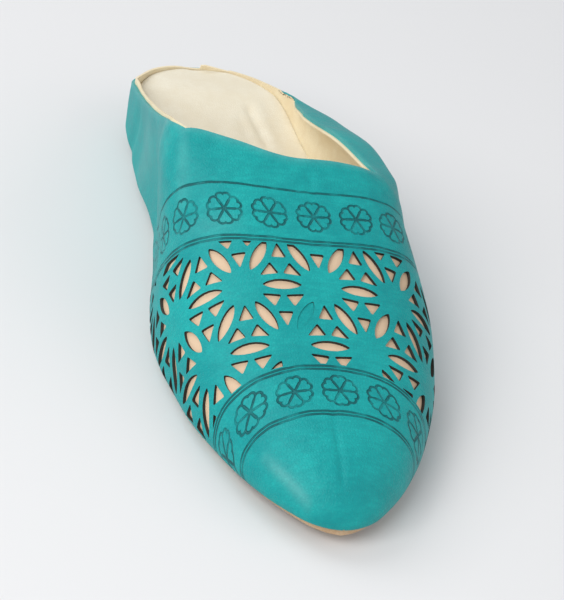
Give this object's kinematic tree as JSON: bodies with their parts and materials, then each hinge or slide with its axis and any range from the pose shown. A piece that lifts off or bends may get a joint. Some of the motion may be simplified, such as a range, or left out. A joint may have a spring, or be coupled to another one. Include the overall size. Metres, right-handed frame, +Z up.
{
  "type": "babouche slipper",
  "caption": "Flat pointed leather slip-on slipper with a backless low heel, pierced lattice vamp with tooled bands, padded footbed and thin leather sole.",
  "frame": {"origin": "middle of the shoe's plan on the floor", "axes": "+Z up, -Y towards the toe, +X towards the outer side of the left foot"},
  "size_m": [0.0952, 0.2642, 0.0673],
  "materials": {
    "sole_leather": "plain tan sole leather",
    "turquoise_leather": "satin dyed goat leather",
    "cream_leather": "matt natural lining leather"
  },
  "bodies": {
    "root": {"outsole": "sole_leather", "upper": "turquoise_leather", "insole": "cream_leather"}
  },
  "joints": []
}
